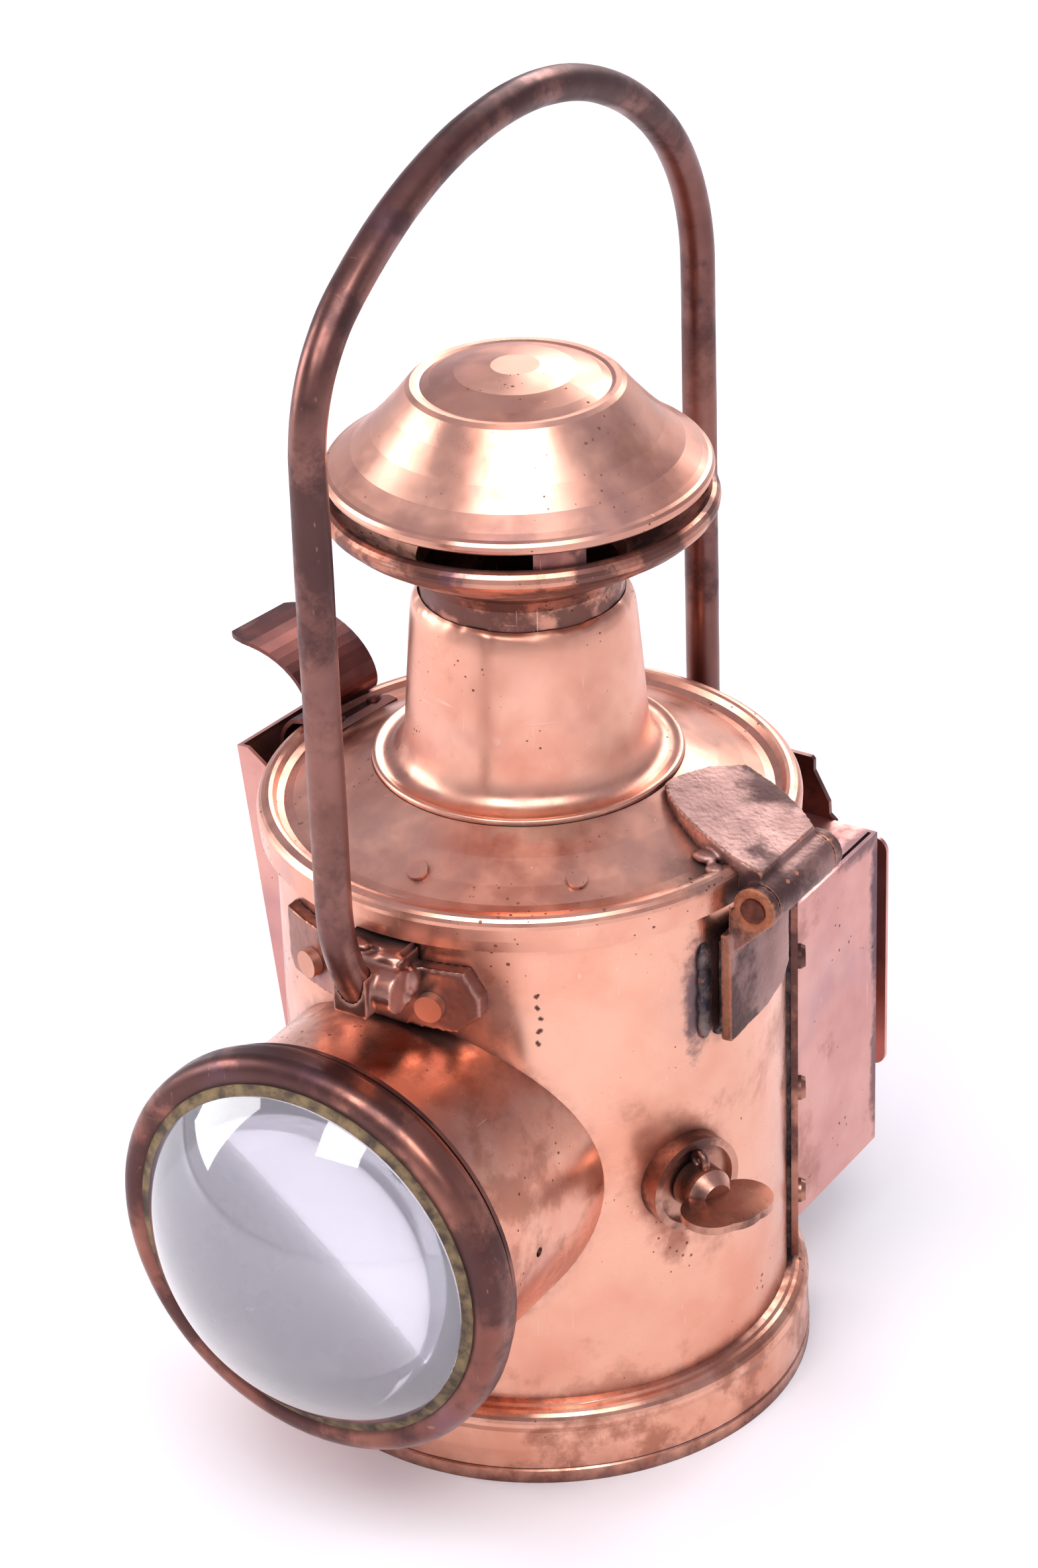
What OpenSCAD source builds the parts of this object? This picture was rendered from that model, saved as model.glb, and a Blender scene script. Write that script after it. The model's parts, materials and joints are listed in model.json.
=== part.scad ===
// Railway hand lamp with a bullseye lens: copper body, hinged lid with a
// two-tier ventilator, fixed bail handle, wick winder and lamp-iron fittings.
// +Z is up, the lens looks along -Y, the lid hinge is on +X and the catch on -X.
// Z = 0 is the surface that the base stands on.

/* [Body] */
// Outside radius of the body tube
body_r = 65; // [64:0.5:66]
// Height of the body tube's open top
body_top = 163; // [162.5:0.5:163.5]
// Thickness of the rolled copper sheet
sheet_t = 1.2; // [1:0.1:1.3]

/* [Base] */
// Radius of the foot of the base skirt
foot_r = 71; // [70.5:0.25:72]
// Height of the top of the base skirt's shoulder
skirt_top = 22.5; // [21:0.5:24]

/* [Lens] */
// Height of the lens axis
lens_z = 87.3; // [86.5:0.1:88]
// Radius of the glass
lens_r = 46.2; // [45.9:0.1:46.4]
// Radius of the lens's convex face
lens_curve_r = 60; // [58:0.5:62]
// Distance of the flat back of the lens from the lamp's axis
lens_back = 100; // [99:0.5:101]

/* [Lid and ventilator] */
// Outside radius of the lid's flange
lid_r = 69.4; // [69.2:0.1:69.6]
// Radius of the foot of the chimney
chimney_r = 30.7; // [30:0.1:31]
// Height of the chimney's top edge
chimney_top = 224; // [223:0.5:225]
// Radius of the ventilator cap's rim
cap_r = 48.1; // [47.5:0.1:48.5]
// Radius of the ventilator dish's rim
dish_r = 49.5; // [49:0.1:50]

/* [Handle] */
// Radius of the handle's round bar
bar_r = 4.5; // [4:0.1:4.8]
// Half the width of the handle, at the bar's centre
handle_y = 88.4; // [88:0.1:88.8]
// Height of the handle's top, at the bar's centre
handle_top = 350; // [345:0.5:360]

/* [Rear case and lamp-iron socket] */
// Half the width of the rear case
case_x = 57; // [56.5:0.1:57.5]
// Distance of the rear case's back from the lamp's axis
case_y = 81.2; // [80.5:0.1:82]
// Depth of the socket for the lamp iron
socket_depth = 11.1; // [10:0.1:12]
// Half the width of the socket for the lamp iron
socket_x = 27; // [24:0.5:28]

/* [Wick winder] */
// Angle of the winder about the lamp's axis, from the lid hinge
key_az = -23.6; // [-26:0.2:-22]
// Height of the winder
key_z = 82.6; // [82:0.1:83]
// Radius of the wick's feed wheel
feed_r = 4.5; // [4:0.1:4.6]

/* [Hidden] */
$fn = 96;

copper = "#d98a6a";
bronze = "#8a5a48";
dark = "#6b4a40";

inner_r = body_r - sheet_t;
floor_z = 2;
floor_t = 1.2;
tube_z = floor_z + floor_t;
lens_tube_r = 47;
lens_tube_t = 1.2;
bezel_r = 51.4;
bezel_round = 4.2;
bezel_y = [102.5, 106];
step_t = 1.3;
lid_t = 1;
flange_low = 159;
flat_z = 177.3;
flange_t = 1.1;
pin_x = 75;
pin_z = 160.5;
pin_r = 2.4;
knuckle_r = 5.8;
ear_y = 17.5;
ear_t = 3.2;
run_gap = 0.3;
fit_gap = 0.05;
case_z = [31, 128];
flange_r = [66.2, 68];
flange_a = [27.5, 36.5];
rivet_z = [42, 74.5, 115];
rivet_r = 3.3;
head_r = 3.6;
rivet_h = 2;
upstand_t = 1.4;
bracket_t = 1.2;
socket_z = [47, 119];
plate_x = 54;
pocket_az = 174.5;
pocket_half = 19;
pocket_out = [65.8, 81.7];
pocket_z = [38, 162];
catch_az = 172;
catch_half = 13;
catch_t = 1.2;
boss_r = 13;
sleeve_r = 6.5;
shaft_r = 2;
journal_r = 3;
wick_t = 2;
wick_w = 13.4;
wick_off = feed_r + 1.3;
wick_z = [12, 92];
burner_z = 60;

// ---- helpers ----

// Unit normal to the left of an outline at its point i
function side(p, i) =
    let (a = p[max(i - 1, 0)], b = p[min(i + 1, len(p) - 1)], d = b - a)
    [-d[1], d[0]] / norm(d);

// Closed outline of a sheet t thick, laid against the open outline p
function sheet(p, t) =
    concat(p, [for (i = [len(p) - 1 : -1 : 0]) p[i] + t * side(p, i)]);

// The other face of that sheet
function far_face(p, t) = [for (i = [0 : len(p) - 1]) p[i] + t * side(p, i)];

// Points along an arc of an ellipse
function arc(c, rx, ry, a0, a1, n) =
    [for (i = [0 : n]) let (a = a0 + (a1 - a0) * i / n) c + [rx * cos(a), ry * sin(a)]];

module spin(a = 360) { rotate_extrude(angle = a) children(); }

module on_lens_axis() { translate([0, 0, lens_z]) rotate([90, 0, 0]) children(); }

module on_key_axis() { translate([0, 0, key_z]) rotate([0, 0, key_az]) rotate([0, 90, 0]) children(); }

module at_angle(a) { rotate([0, 0, a]) children(); }

// Outline in the plane of a radius and Z, extruded to a width either side of it
module across(half) { rotate([90, 0, 0]) translate([0, 0, -half]) linear_extrude(2 * half) children(); }

module body_space(r = body_r) { translate([0, 0, -50]) cylinder(r = r, h = 400, $fn = 128); }

// Turns +Z outwards at an angle round the body and a height
module radial(a, z) { at_angle(a) translate([0, 0, z]) rotate([0, 90, 0]) children(); }

// Curved face of the body under a piece drawn with radial()
module round_seat(r) { rotate([0, -90, 0]) translate([0, 0, -200]) cylinder(r = r, h = 400, $fn = 128); }

module rivet_head(r, h) {
    cylinder(r = r, h = h * 0.6);
    translate([0, 0, h * 0.6]) cylinder(r1 = r, r2 = r * 0.82, h = h * 0.4);
}

// ---- body ----

module body_tube() {
    color(copper) difference() {
        translate([0, 0, tube_z]) cylinder(r = body_r, h = body_top - tube_z, $fn = 128);
        translate([0, 0, tube_z - 1]) cylinder(r = inner_r, h = body_top, $fn = 128);
        on_lens_axis() cylinder(r = lens_tube_r - lens_tube_t, h = body_r + 10);
        on_key_axis() translate([0, 0, inner_r - 10]) cylinder(r = journal_r + 1, h = 20);
    }
}

module rim_bead() {
    bead = 1.5;
    color(copper) spin() intersection() {
        translate([body_r, body_top - bead]) circle(r = bead, $fn = 32);
        translate([body_r, body_top - 2 * bead]) square([bead, 2 * bead]);
    }
}

inside_foot = foot_r - sheet_t;

module base_skirt() {
    color(copper) spin() polygon(concat(
        [[body_r, skirt_top], [body_r + 1.5, skirt_top - 0.5]],
        arc([foot_r - 4.6, skirt_top - 5.2], 4.4, 4.3, 78, 0, 6),
        [[foot_r - 0.8, skirt_top - 7], [foot_r - 0.3, 10], [foot_r - 0.2, 4.6], [foot_r - 0.6, 4.2],
         [foot_r, 3.7], [foot_r, 0], [inside_foot, 0], [inside_foot, 10], [foot_r - 2.1, skirt_top - 7]],
        arc([foot_r - 4.6, skirt_top - 5.2], 3.2, 3.2, 0, 78, 4),
        [[body_r, skirt_top - 1.6]]));
}

module base_floor() {
    color(dark) translate([0, 0, floor_z]) cylinder(r = inside_foot, h = floor_t);
}

// ---- lens ----

module lens_tube() {
    vent_y = 76;
    color(copper) difference() {
        on_lens_axis() difference() {
            cylinder(r = lens_tube_r, h = lens_back);
            translate([0, 0, -1]) cylinder(r = lens_tube_r - lens_tube_t, h = lens_back + 2);
        }
        body_space();
        translate([lens_tube_r - 5, -vent_y, lens_z - 2]) rotate([0, 90, 0]) cylinder(r = 1.3, h = 10);
    }
}

module lens_step_ring() {
    color(bronze) on_lens_axis() spin()
        translate([lens_tube_r, bezel_y[0] - bezel_round - step_t]) square([6.6, step_t]);
}

module bezel_section() {
    for (y = bezel_y) translate([bezel_r, y]) circle(r = bezel_round, $fn = 48);
    translate([bezel_r - bezel_round, bezel_y[0]]) square([2 * bezel_round, bezel_y[1] - bezel_y[0]]);
}

module lens_bezel() { color(bronze) on_lens_axis() spin() bezel_section(); }

module lens_putty() {
    front = 110.3;
    color("#a08a58") on_lens_axis() spin() difference() {
        polygon([[lens_r, lens_back], [bezel_r - bezel_round, lens_back], [bezel_r - bezel_round, bezel_y[0]],
            [bezel_r, bezel_y[1]], [bezel_r - 2.4, front - 1], [lens_r, front]]);
        bezel_section();
    }
}

module bullseye_lens() {
    centre = lens_back - 27.5;
    color("#cfd6d8") on_lens_axis() spin() intersection() {
        translate([0, centre]) circle(r = lens_curve_r, $fn = 128);
        translate([0, lens_back]) square([lens_r, 60]);
    }
}

// ---- handle ----

front_bend_z = 178;
front_bend_r = 52;
front_block_z = [144, 155];
front_block_y = -84.4;
rear_foot_z = 123;
block = [9.6, 9];

// Bar bent round a centre in the Y-Z plane; angles are from +Y towards +Z
module bend(centre, radius, from, to) {
    translate([0, centre[0], centre[1]]) rotate([90, 0, 90]) rotate([0, 0, from])
        rotate_extrude(angle = to - from) translate([radius, 0]) circle(r = bar_r, $fn = 48);
}

rear_back = case_y + upstand_t + bracket_t;
front_rise = 57;
rear_rise = 74;
bar_sides = 24;
bend_centre = [front_bend_r - handle_y, front_bend_z];
bend_end = 214;

// Centre line of the bar in the Y-Z plane, from the front foot over the arch to the rear foot
bar_path = concat(
    arc(bend_centre, front_bend_r, front_bend_r, bend_end, 180, 8),
    arc([0, handle_top - front_rise], handle_y, front_rise, 180, 94, 20),
    arc([0, handle_top - rear_rise], handle_y, rear_rise, 90, 0, 20),
    [[handle_y, rear_foot_z + 5]]);

function ring(c, across) = [for (k = [0 : bar_sides - 1]) let (a = 360 * k / bar_sides)
    [bar_r * sin(a), c[0] + bar_r * cos(a) * across[0], c[1] + bar_r * cos(a) * across[1]]];

module handle() {
    last = len(bar_path) - 1;
    n = bar_sides;
    color(bronze) polyhedron(
        points = [for (i = [0 : last]) each ring(bar_path[i], side(bar_path, i))],
        faces = concat(
            [[for (k = [0 : n - 1]) k]],
            [for (i = [0 : last - 1]) for (k = [0 : n - 1]) let (a = i * n + k, b = i * n + (k + 1) % n)
                each [[a, a + n, b], [b, a + n, b + n]]],
            [[for (k = [n - 1 : -1 : 0]) last * n + k]]));
}

module front_block() {
    translate([-block[0] / 2, front_block_y, front_block_z[0]])
        cube([block[0], block[1], front_block_z[1] - front_block_z[0]]);
}

// Seat of the bar, drilled a little deeper than the bar goes in
module front_bar() { bend(bend_centre, front_bend_r, 180, bend_end + 0.5); }

module handle_feet() {
    color(bronze) {
        difference() {
            front_block();
            front_bar();
        }
        difference() {
            translate([-block[0] / 2, rear_back, rear_foot_z]) cube([block[0], block[1] - 0.4, 12]);
            translate([0, handle_y, rear_foot_z + 5]) cylinder(r = bar_r, h = 20, $fn = 48);
        }
    }
}

front_plate_r = 68.8;
front_plate_z = [135, 152];

module front_bracket() {
    knob_r = 5.6;
    color(bronze) difference() {
        union() {
            intersection() {
                difference() {
                    body_space(front_plate_r);
                    body_space();
                }
                translate([-4, 0, 0]) rotate([90, 0, 0]) translate([0, 0, 40]) linear_extrude(40)
                    polygon([[-29, front_plate_z[0]], [23, front_plate_z[0]], [28.5, front_plate_z[0] + 5],
                        [28.5, front_plate_z[1] - 7], [25, front_plate_z[1]], [-31, front_plate_z[1]],
                        [-31, front_plate_z[0] + 4]]);
            }
            translate([-4.8, -75.4, 146]) cube([13, 10, 10]);
            translate([-9, -72, 150]) cube([16, 6.5, 7.5]);
            translate([4.8, -76.5, 149.5]) rotate([0, 90, 0]) cylinder(r = knob_r, h = 5.4);
        }
        body_space();
        front_block();
        front_bar();
    }
}

module front_bracket_rivets() {
    color(bronze) for (a = [-110.3, -79.3]) radial(a, 142) difference() {
        translate([0, 0, front_plate_r - 1]) cylinder(r = head_r, h = 3.6);
        round_seat(front_plate_r);
    }
}

// ---- rear case and lamp-iron socket ----

module case_flanges() {
    color(bronze) for (s = [0, 1]) mirror([s, 0, 0]) at_angle(flange_a[0])
        translate([0, 0, 23]) rotate_extrude(angle = flange_a[1] - flange_a[0])
            translate([flange_r[0], 0]) square([flange_r[1] - flange_r[0], 113]);
}

module case_packing() {
    color(dark) for (s = [0, 1]) mirror([s, 0, 0]) at_angle(flange_a[0] + 2)
        translate([0, 0, 24]) rotate_extrude(angle = flange_a[1] - flange_a[0] - 2)
            translate([body_r, 0]) square([flange_r[0] - body_r, 111]);
}

module case_rivets() {
    color(bronze) for (s = [0, 1]) mirror([s, 0, 0]) for (z = rivet_z) radial(30.3, z) difference() {
        translate([0, 0, flange_r[1] - 1]) rivet_head(rivet_r, rivet_h + 1);
        round_seat(flange_r[1]);
    }
}

module rear_case() {
    h = case_z[1] - case_z[0];
    color(copper) difference() {
        translate([-case_x, 37, case_z[0]]) cube([2 * case_x, case_y - 37, h]);
        translate([-case_x + sheet_t, 30, case_z[0] - 1])
            cube([2 * (case_x - sheet_t), case_y - 30 - sheet_t, h + 2]);
        body_space(flange_r[1]);
    }
}

module case_top_plate() {
    color(copper) translate([-case_x + 2.2, 65, case_z[1] - sheet_t])
        cube([2 * case_x - 4.4, case_y - 65 - sheet_t, sheet_t]);
}

upstand_half = [[44.5, 120], [44.5, 127.7], [42.6, 129.3], [42.4, 133], [37.8, 141.4],
    [37.8, 144.6], [37, 145.4]];

module rear_upstand() {
    color(bronze) translate([0, case_y + upstand_t, 0]) rotate([90, 0, 0]) linear_extrude(upstand_t)
        polygon(concat(upstand_half, [for (i = [len(upstand_half) - 1 : -1 : 0])
            [-upstand_half[i][0], upstand_half[i][1]]]));
}

module rear_bracket() {
    color(bronze) translate([0, rear_back, 0]) rotate([90, 0, 0]) linear_extrude(bracket_t)
        polygon([[-24, 125], [-21, 122], [21, 122], [24, 125], [24, 135], [19, 140], [-19, 140], [-24, 135]]);
}

module rear_bracket_rivets() {
    color(bronze) for (x = [-16, 16])
        translate([x, rear_back, 131]) rotate([-90, 0, 0]) cylinder(r = head_r, h = 2.4);
}

module socket_spacers() {
    color(bronze) for (s = [-1, 1])
        translate([s * (socket_x + 2) - 2, case_y, socket_z[0]])
            cube([4, socket_depth, socket_z[1] - socket_z[0]]);
}

module socket_plate() {
    corner = 4;
    h = socket_z[1] - socket_z[0];
    color(copper) translate([0, case_y + socket_depth + sheet_t, socket_z[0]]) rotate([90, 0, 0])
        linear_extrude(sheet_t) union() {
            for (x = [-1, 1]) for (z = [corner, h - corner])
                translate([x * (plate_x - corner), z]) circle(r = corner, $fn = 32);
            translate([-plate_x, corner]) square([2 * plate_x, h - 2 * corner]);
            translate([-plate_x + corner, 0]) square([2 * (plate_x - corner), h]);
        }
}

module socket_rivets() {
    color(bronze) for (x = [-1, 1]) for (z = [57, 109])
        translate([x * (socket_x + 2), case_y + socket_depth + sheet_t, z]) rotate([-90, 0, 0])
            rivet_head(rivet_r, rivet_h);
}

// ---- side pocket ----

module side_pocket() {
    wall = 1.1;
    out = pocket_out;
    z = pocket_z;
    color(copper) at_angle(pocket_az) difference() {
        across(pocket_half)
            polygon([[50, z[0]], [out[0], z[0]], [out[1], z[1]], [out[1] - 3.6, z[1] + 0.3],
                [72.3, 158.6], [68.5, 154], [50, 154]]);
        across(pocket_half - wall)
            polygon([[50, z[0] + 3], [out[0] - 0.9, z[0] + 3], [out[1] - wall - 0.1, z[1] - 1],
                [out[1] - wall, z[1] + 9], [50, z[1] + 9]]);
        body_space();
    }
}

// ---- lid hinge ----

module ear(r) {
    rotate([90, 0, 0]) translate([0, 0, -ear_t / 2]) cylinder(r = r, h = ear_t, $fn = 64);
}

leaf_x = [65.6, 68.6];
leaf_low = 120.6;
leaf_top = 151;
leaf_y = [-18, 12];

module hinge_packing() {
    color(dark) difference() {
        translate([60, leaf_y[0] + 3, leaf_low + 1.4]) cube([leaf_x[0] - 60, leaf_y[1] - leaf_y[0] - 3, 25]);
        body_space(body_r + 0.03);
    }
}

module body_hinge_leaf() {
    web_low = leaf_top - 5;
    color(bronze) difference() {
        union() {
            translate([leaf_x[0], 0, 0]) rotate([0, 90, 0]) linear_extrude(leaf_x[1] - leaf_x[0])
                polygon([[-leaf_top, leaf_y[0]], [-leaf_top, leaf_y[1]], [-leaf_low - 8.4, leaf_y[1]],
                    [-leaf_low - 3.9, leaf_y[1] - 3], [-leaf_low - 0.9, leaf_y[1] - 11],
                    [-leaf_low, leaf_y[0]]]);
            for (s = [-1, 1]) translate([0, s * (ear_y - ear_t / 2), 0]) {
                translate([pin_x, 0, pin_z]) ear(knuckle_r);
                translate([0, ear_t / 2, 0]) rotate([90, 0, 0]) linear_extrude(ear_t)
                    polygon([[leaf_x[0], web_low], [leaf_x[1] + 0.4, web_low], [pin_x + 4.9, pin_z - 3.1],
                        [pin_x, pin_z], [leaf_x[0], pin_z - 2.5]]);
            }
            translate([leaf_x[0], -ear_y, web_low])
                cube([leaf_x[1] - leaf_x[0], 2 * ear_y, leaf_top - web_low]);
        }
        translate([pin_x, 50, pin_z]) rotate([90, 0, 0]) cylinder(r = pin_r, h = 100, $fn = 48);
        body_space();
        translate([0, 0, leaf_top]) cylinder(r = lid_r + 0.4, h = 50, $fn = 128);
    }
}

module hinge_pin() {
    color(bronze) translate([pin_x, ear_y, pin_z]) rotate([90, 0, 0]) {
        cylinder(r = pin_r, h = 2 * ear_y, $fn = 48);
        translate([0, 0, 2 * ear_y]) cylinder(r = pin_r + 0.9, h = 1, $fn = 48);
        translate([0, 0, -1]) cylinder(r = pin_r + 0.9, h = 1, $fn = 48);
    }
}

// ---- lid ----

function lid_line() = concat(
    [[29, flat_z], [39.8, flat_z], [41.6, 176.4], [48, 173.2], [55, 169.4], [60, 166.9],
     [62.4, 166.1], [64.2, 166.8]],
    arc([lid_r - 3.1, 165.3], 3.1, 3, 110, 0, 6),
    [[lid_r - 0.2, 162], [lid_r - 0.5, flange_low]]);

module lid() { color(copper) spin() polygon(sheet(lid_line(), -lid_t)); }

// Everything under the lid's outer face
module under_lid() {
    spin() polygon(concat([[0, 100], [0, flat_z]], lid_line(), [[lid_r - 0.5, 100]]));
}

module lid_rivets() {
    color(bronze) for (a = [-88, -46, 92, 134]) at_angle(a) difference() {
        translate([52, 0, 165]) rotate([0, 28, 0]) cylinder(r = 2.6, h = 7);
        translate([52, 0, 165]) rotate([0, 28, 0]) translate([0, 0, 6.6]) cylinder(r = 5, h = 5);
        under_lid();
    }
}

function chimney_line() = concat(
    [[39, flat_z + flange_t], [36, flat_z + flange_t]],
    arc([chimney_r + 5.3, flat_z + flange_t + 5.6], 5.3, 5.6, 270, 186, 6),
    [[chimney_r - 0.1, 189], [chimney_r - 2.4, 219], [chimney_r - 2.9, 222.4], [chimney_r - 4, chimney_top]]);

module chimney() { color(copper) spin() polygon(sheet(chimney_line(), flange_t)); }

dish_t = 0.9;
cap_t = 1;

function dish_line() = concat(
    [[25.6, 214], [25.6, 229], [26.8, 232], [31, 235], [40, 240], [46, 244]],
    arc([dish_r - 2.4, 248.4], 2.4, 2.6, -50, 110, 6));

module cap_dish() { color(copper) spin() polygon(sheet(dish_line(), dish_t)); }

function cap_line() = concat(
    [[0, 283.3], [6, 283.3], [15, 282], [21, 280.1], [23.4, 278.9], [24.4, 279.2], [25.8, 279.3],
     [27, 278.4], [31, 273.4], [36, 267.8], [41, 262.9], [45, 259.8]],
    arc([cap_r - 2.2, 256.8], 2.2, 2, 75, -60, 5));

module cap_top() { color(copper) spin() polygon(sheet(cap_line(), -cap_t)); }

module cap_spacers() {
    half = 8;
    color(bronze) for (k = [0 : 2]) at_angle(-46 + 120 * k - half) spin(2 * half) difference() {
        translate([44.8, 240]) square([1.4, 22]);
        polygon(concat(far_face(dish_line(), dish_t), [[60, 250], [60, 200]]));
        polygon(concat(far_face(cap_line(), -cap_t), [[60, 255], [60, 300], [0, 300]]));
    }
}

module draught_tube() {
    inner = 20;
    color(dark) spin() {
        translate([inner, 184]) square([1, 32]);
        translate([inner, 215]) square([24.7 - inner, 1]);
    }
}

// Outline of the lid's leaf, seen from above
leaf_plan = [[40.5, -1], [43, -4.2], [48.2, -7.6], [56.3, -10.6], [66, -13.2], [75, -13.6], [75, 13.4],
    [70.2, 17], [60.7, 21], [50.5, 22.3], [44.5, 14], [41, 4]];

module lid_hinge_leaf() {
    half = ear_y - ear_t - run_gap;
    top = [[39, 179.4], [48, 176.4], [75, 168.6]];
    low = [[39, 173], [64, 164], [75, 160]];
    color(bronze) difference() {
        union() {
            intersection() {
                translate([0, 0, 150]) linear_extrude(40) polygon(leaf_plan);
                across(30) polygon([top[0], top[1], top[2], low[2], low[1], low[0]]);
            }
            translate([pin_x, half, pin_z]) rotate([90, 0, 0]) cylinder(r = knuckle_r, h = 2 * half, $fn = 64);
        }
        under_lid();
        translate([0, 0, 100]) cylinder(r = 39.2, h = flat_z - 94);
        translate([pin_x, 50, pin_z]) rotate([90, 0, 0]) cylinder(r = pin_r + fit_gap, h = 100, $fn = 48);
        for (s = [-1, 1]) translate([pin_x, s * (half + 10), pin_z]) {
            rotate([90, 0, 0]) translate([0, 0, -10]) cylinder(r = knuckle_r + run_gap, h = 20, $fn = 64);
            translate([-knuckle_r - run_gap, -10, -20]) cube([20, 20, 20]);
        }
    }
}

// ---- catch ----

function bezier(p, t) = pow(1 - t, 3) * p[0] + 3 * t * pow(1 - t, 2) * p[1] + 3 * t * t * (1 - t) * p[2]
    + pow(t, 3) * p[3];

function catch_line() = concat(
    [[74.2, 150], [74.5, 160], [73.9, 163.6]],
    [[72.4, 166.4], [70, 168.9], [66.4, 169.95]],
    [for (i = [0 : 16]) bezier([[64.6, 170.1], [61, 172.5], [67, 189.5], [92, 185.6]], i / 16)]);

module catch_spring() {
    tip = 8;
    corner = [84, 9];
    round_end = [for (a = [0 : 15 : 90]) [corner[0] + corner[1] * sin(a), tip + (catch_half - tip) * cos(a)]];
    color(bronze) at_angle(catch_az) intersection() {
        across(catch_half) polygon(sheet(catch_line(), catch_t));
        translate([0, 0, 100]) linear_extrude(120) polygon(concat([[50, -catch_half]],
            [for (p = round_end) [p[0], -p[1]]], [for (i = [6 : -1 : 0]) round_end[i]], [[50, catch_half]]));
    }
}

module catch_foot() {
    color(bronze) at_angle(catch_az) difference() {
        translate([54, -catch_half + 2, 164]) cube([8.6, 2 * catch_half - 4, 6]);
        under_lid();
        translate([58, 0, 167.9]) rotate([0, 24, 0]) translate([-20, -30, 1.6]) cube([40, 60, 20]);
    }
}

module catch_rivets() {
    color(bronze) at_angle(catch_az) for (s = [-1, 1]) difference() {
        translate([58, s * 7, 167.9]) rotate([0, 24, 0]) translate([0, 0, 1.6]) cylinder(r = 2, h = 1);
    }
}

// ---- wick winder ----

module key_boss() {
    depth = 2;
    color(bronze) difference() {
        on_key_axis() difference() {
            translate([0, 0, inner_r]) cylinder(r = boss_r, h = 6);
            translate([0, 0, inner_r + 6 - depth]) cylinder(r = boss_r - 2, h = depth + 1);
            translate([0, 0, inner_r - 5]) cylinder(r = journal_r + fit_gap, h = 20, $fn = 48);
        }
        body_space();
    }
}

module key_spindle() {
    color("#b08d57") on_key_axis() {
        translate([0, 0, -6]) cylinder(r = shaft_r, h = 66, $fn = 32);
        translate([0, 0, 58]) cylinder(r = journal_r, h = 15, $fn = 48);
        translate([0, 0, -4]) cylinder(r = feed_r, h = 8, $fn = 12);
    }
}

module key_sleeve() {
    color(bronze) on_key_axis() difference() {
        union() {
            translate([0, 0, 68.6]) cylinder(r = sleeve_r, h = 6.4);
            translate([0, 0, 75]) cylinder(r1 = sleeve_r, r2 = 4, h = 3.4);
        }
        translate([0, 0, 60]) cylinder(r = journal_r, h = 13, $fn = 48);
        thumb_shape();
    }
}

module thumb_shape() {
    key_t = 2.2;
    translate([-key_t / 2, 0, 82.5]) rotate([0, 90, 0]) linear_extrude(key_t)
        union() {
            circle(r = 9, $fn = 64);
            for (s = [-1, 1]) translate([0, s * 4.6]) circle(r = 8, $fn = 64);
        }
}

module thumb_key() { color(bronze) on_key_axis() thumb_shape(); }

module key_loop() {
    color(bronze) on_key_axis() translate([-sleeve_r, 0, 71.3]) difference() {
        translate([-1.2, 0, 0]) rotate([90, 0, 0]) rotate_extrude($fn = 48)
            translate([2.2, 0]) circle(r = 1.1, $fn = 24);
        translate([sleeve_r, 0, -10]) cylinder(r = sleeve_r, h = 20);
    }
}

// ---- fount and burner ----

fount_r = 44;
fount_z = [tube_z, 50];
collar_r = 12;

module fount() {
    wall = 0.8;
    color("#c9b27c") difference() {
        spin() polygon([[0, fount_z[0]], [fount_r, fount_z[0]], [fount_r, fount_z[1] - 3],
        [fount_r - 3, fount_z[1]], [collar_r, 54], [9, 54], [9, 54 - wall], [collar_r - 0.4, 54 - wall],
        [fount_r - 3.3, fount_z[1] - wall], [fount_r - wall, fount_z[1] - 3.3],
        [fount_r - wall, fount_z[0] + wall], [0, fount_z[0] + wall]]);
        at_wick() translate([0, 0, 40]) wick_slot(wick_w + 1, wick_t + 1, 20);
    }
}

module fount_collar() {
    color("#b08d57") difference() {
        spin() polygon([[9.5, 54], [collar_r, 54], [collar_r, burner_z], [9.5, burner_z]]);
        at_wick() wick_slot(16.4, 5.4, 100);
    }
}

module wick_slot(w, t, h) { translate([-t / 2, -w / 2, 0]) cube([t, w, h]); }

module at_wick() { rotate([0, 0, key_az + 90]) translate([wick_off, 0, 0]) children(); }

module burner() {
    color("#b08d57") difference() {
        union() {
            translate([0, 0, burner_z]) cylinder(r = collar_r + 2, h = 5);
            translate([0, 0, burner_z + 5]) cylinder(r = collar_r, h = 3);
        }
        translate([0, 0, burner_z - 1]) cylinder(r = 8, h = 3);
        at_wick() wick_slot(16, 5, 100);
    }
}

module wick_tube() {
    color("#b08d57") difference() {
        at_wick() translate([0, 0, 55.5]) wick_slot(16, 5, 34.5);
        at_wick() wick_slot(14, 2.6, 120);
        on_key_axis() translate([0, 0, -7]) cylinder(r = feed_r + 0.5, h = 14, $fn = 32);
    }
}

module wick() {
    color("#e8e0cf") at_wick() translate([0, 0, wick_z[0]]) wick_slot(wick_w, wick_t, wick_z[1] - wick_z[0]);
}

function mirror_line() = [for (i = [0 : 8]) let (r = 26.5 * i / 8) [r, 32 - 20 * (r / 32) * (r / 32)]];

module reflector() {
    color("#d8d8d4") translate([0, 0, 95]) rotate([-90, 0, 0]) {
        spin() polygon(sheet(mirror_line(), 0.8));
        difference() {
            translate([0, 0, 32.8]) cylinder(r = 3, h = 40);
            rotate([90, 0, 0]) difference() {
                translate([0, 0, -50]) cylinder(r = 100, h = 100);
                translate([0, 0, -60]) cylinder(r = inner_r, h = 120, $fn = 128);
            }
        }
    }
}

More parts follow.
